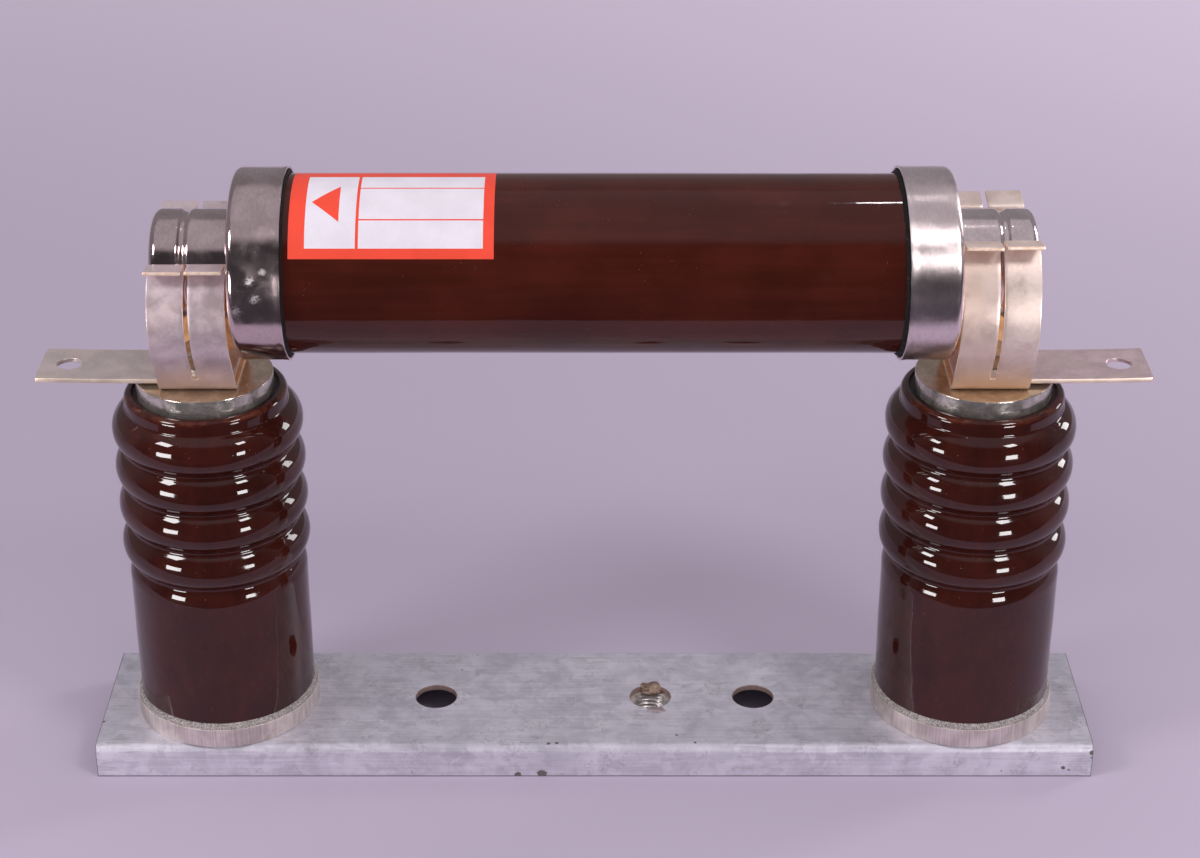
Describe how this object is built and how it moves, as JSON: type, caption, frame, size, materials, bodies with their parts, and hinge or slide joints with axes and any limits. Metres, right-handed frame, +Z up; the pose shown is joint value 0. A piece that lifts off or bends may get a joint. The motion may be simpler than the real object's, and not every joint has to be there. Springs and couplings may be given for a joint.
{
  "type": "current-limiting fuse",
  "caption": "Medium voltage current-limiting fuse-link with a striker, held in the spring clips of an indoor fuse base on porcelain post insulators.",
  "frame": {"origin": "centre of the base channel's underside, on the surface that the base stands on", "axes": "+X along the fuse axis, away from the striker end, +Y towards the rear, +Z up"},
  "size_m": [0.4634, 0.0804, 0.268],
  "materials": {
    "galvanised_sheet": "satin",
    "plated_steel": "satin",
    "foot_nickel": "satin",
    "foot_cement": "matte",
    "post_glaze": "gloss",
    "tube_glaze": "gloss",
    "disc_nickel": "polished",
    "strap_plating": "satin",
    "clip_plating": "satin",
    "cap_nickel": "polished",
    "black_seal": "matte",
    "contact_brass": "satin",
    "striker_brass": "satin",
    "bare_ceramic": "matte",
    "silver": "satin",
    "sand": "matte",
    "spring_steel": "satin"
  },
  "bodies": {
    "fuse_base": {"base_channel": "galvanised_sheet", "earth_nut": "plated_steel", "left_foot_fitting": "foot_nickel", "left_foot_cement": "foot_cement", "left_insulator": "post_glaze", "left_top_cement": "foot_cement", "left_top_fitting": "disc_nickel", "left_terminal_strap": "strap_plating", "left_clip": "clip_plating", "right_foot_fitting": "foot_nickel", "right_foot_cement": "foot_cement", "right_insulator": "post_glaze", "right_top_cement": "foot_cement", "right_top_fitting": "disc_nickel", "right_terminal_strap": "strap_plating", "right_clip": "clip_plating", "fixing_bolts": "plated_steel", "fixing_washers": "plated_steel", "clip_bolts": "plated_steel", "clip_washers": "plated_steel"},
    "fuse_link": {"fuse_tube": "tube_glaze", "left_contact_cap": "cap_nickel", "left_cap_seal": "black_seal", "left_contact_plate": "contact_brass", "right_contact_cap": "cap_nickel", "right_cap_seal": "black_seal", "right_contact_plate": "contact_brass", "winding_core": "bare_ceramic", "fuse_elements": "silver", "quartz_sand": "sand", "striker_housing": "contact_brass", "striker_spring": "spring_steel", "striker_wire": "spring_steel"},
    "striker": {"striker_pin": "striker_brass"}
  },
  "joints": [
    {"name": "link_lift", "type": "slide", "parent": "fuse_base", "child": "fuse_link", "axis": [0, 0, 1], "range_m": [0, 0.06], "deforming": ["left_clip", "right_clip"]},
    {"name": "striker_release", "type": "slide", "parent": "fuse_link", "child": "striker", "axis": [-1, 0, 0], "range_m": [0, 0.022], "deforming": ["striker_spring"]}
  ]
}
